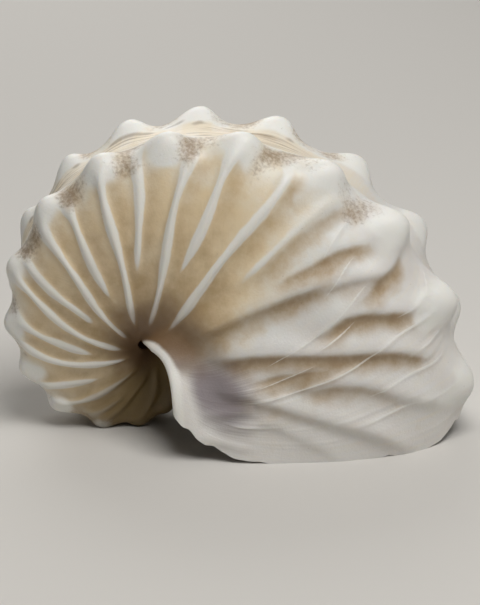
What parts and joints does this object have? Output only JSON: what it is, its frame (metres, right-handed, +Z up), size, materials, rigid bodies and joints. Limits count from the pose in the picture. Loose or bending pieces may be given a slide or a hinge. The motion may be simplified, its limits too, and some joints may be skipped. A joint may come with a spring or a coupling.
{
  "type": "paper nautilus shell",
  "caption": "Thin ribbed paper nautilus shell, coiled flat, with knobs along its keel and a wide mouth: a light natural keepsake that stands mouth down.",
  "frame": {"origin": "middle of the shell's footprint, on the surface that it stands on", "axes": "+X from the coil to the front of the mouth, +Y across the shell along the coil axis, +Z up"},
  "size_m": [0.0792, 0.0405, 0.0539],
  "materials": {
    "shell": "waxy satin calcite, cream white on ribs and knobs, tan between them"
  },
  "bodies": {
    "root": {"shell": "shell"}
  },
  "joints": []
}
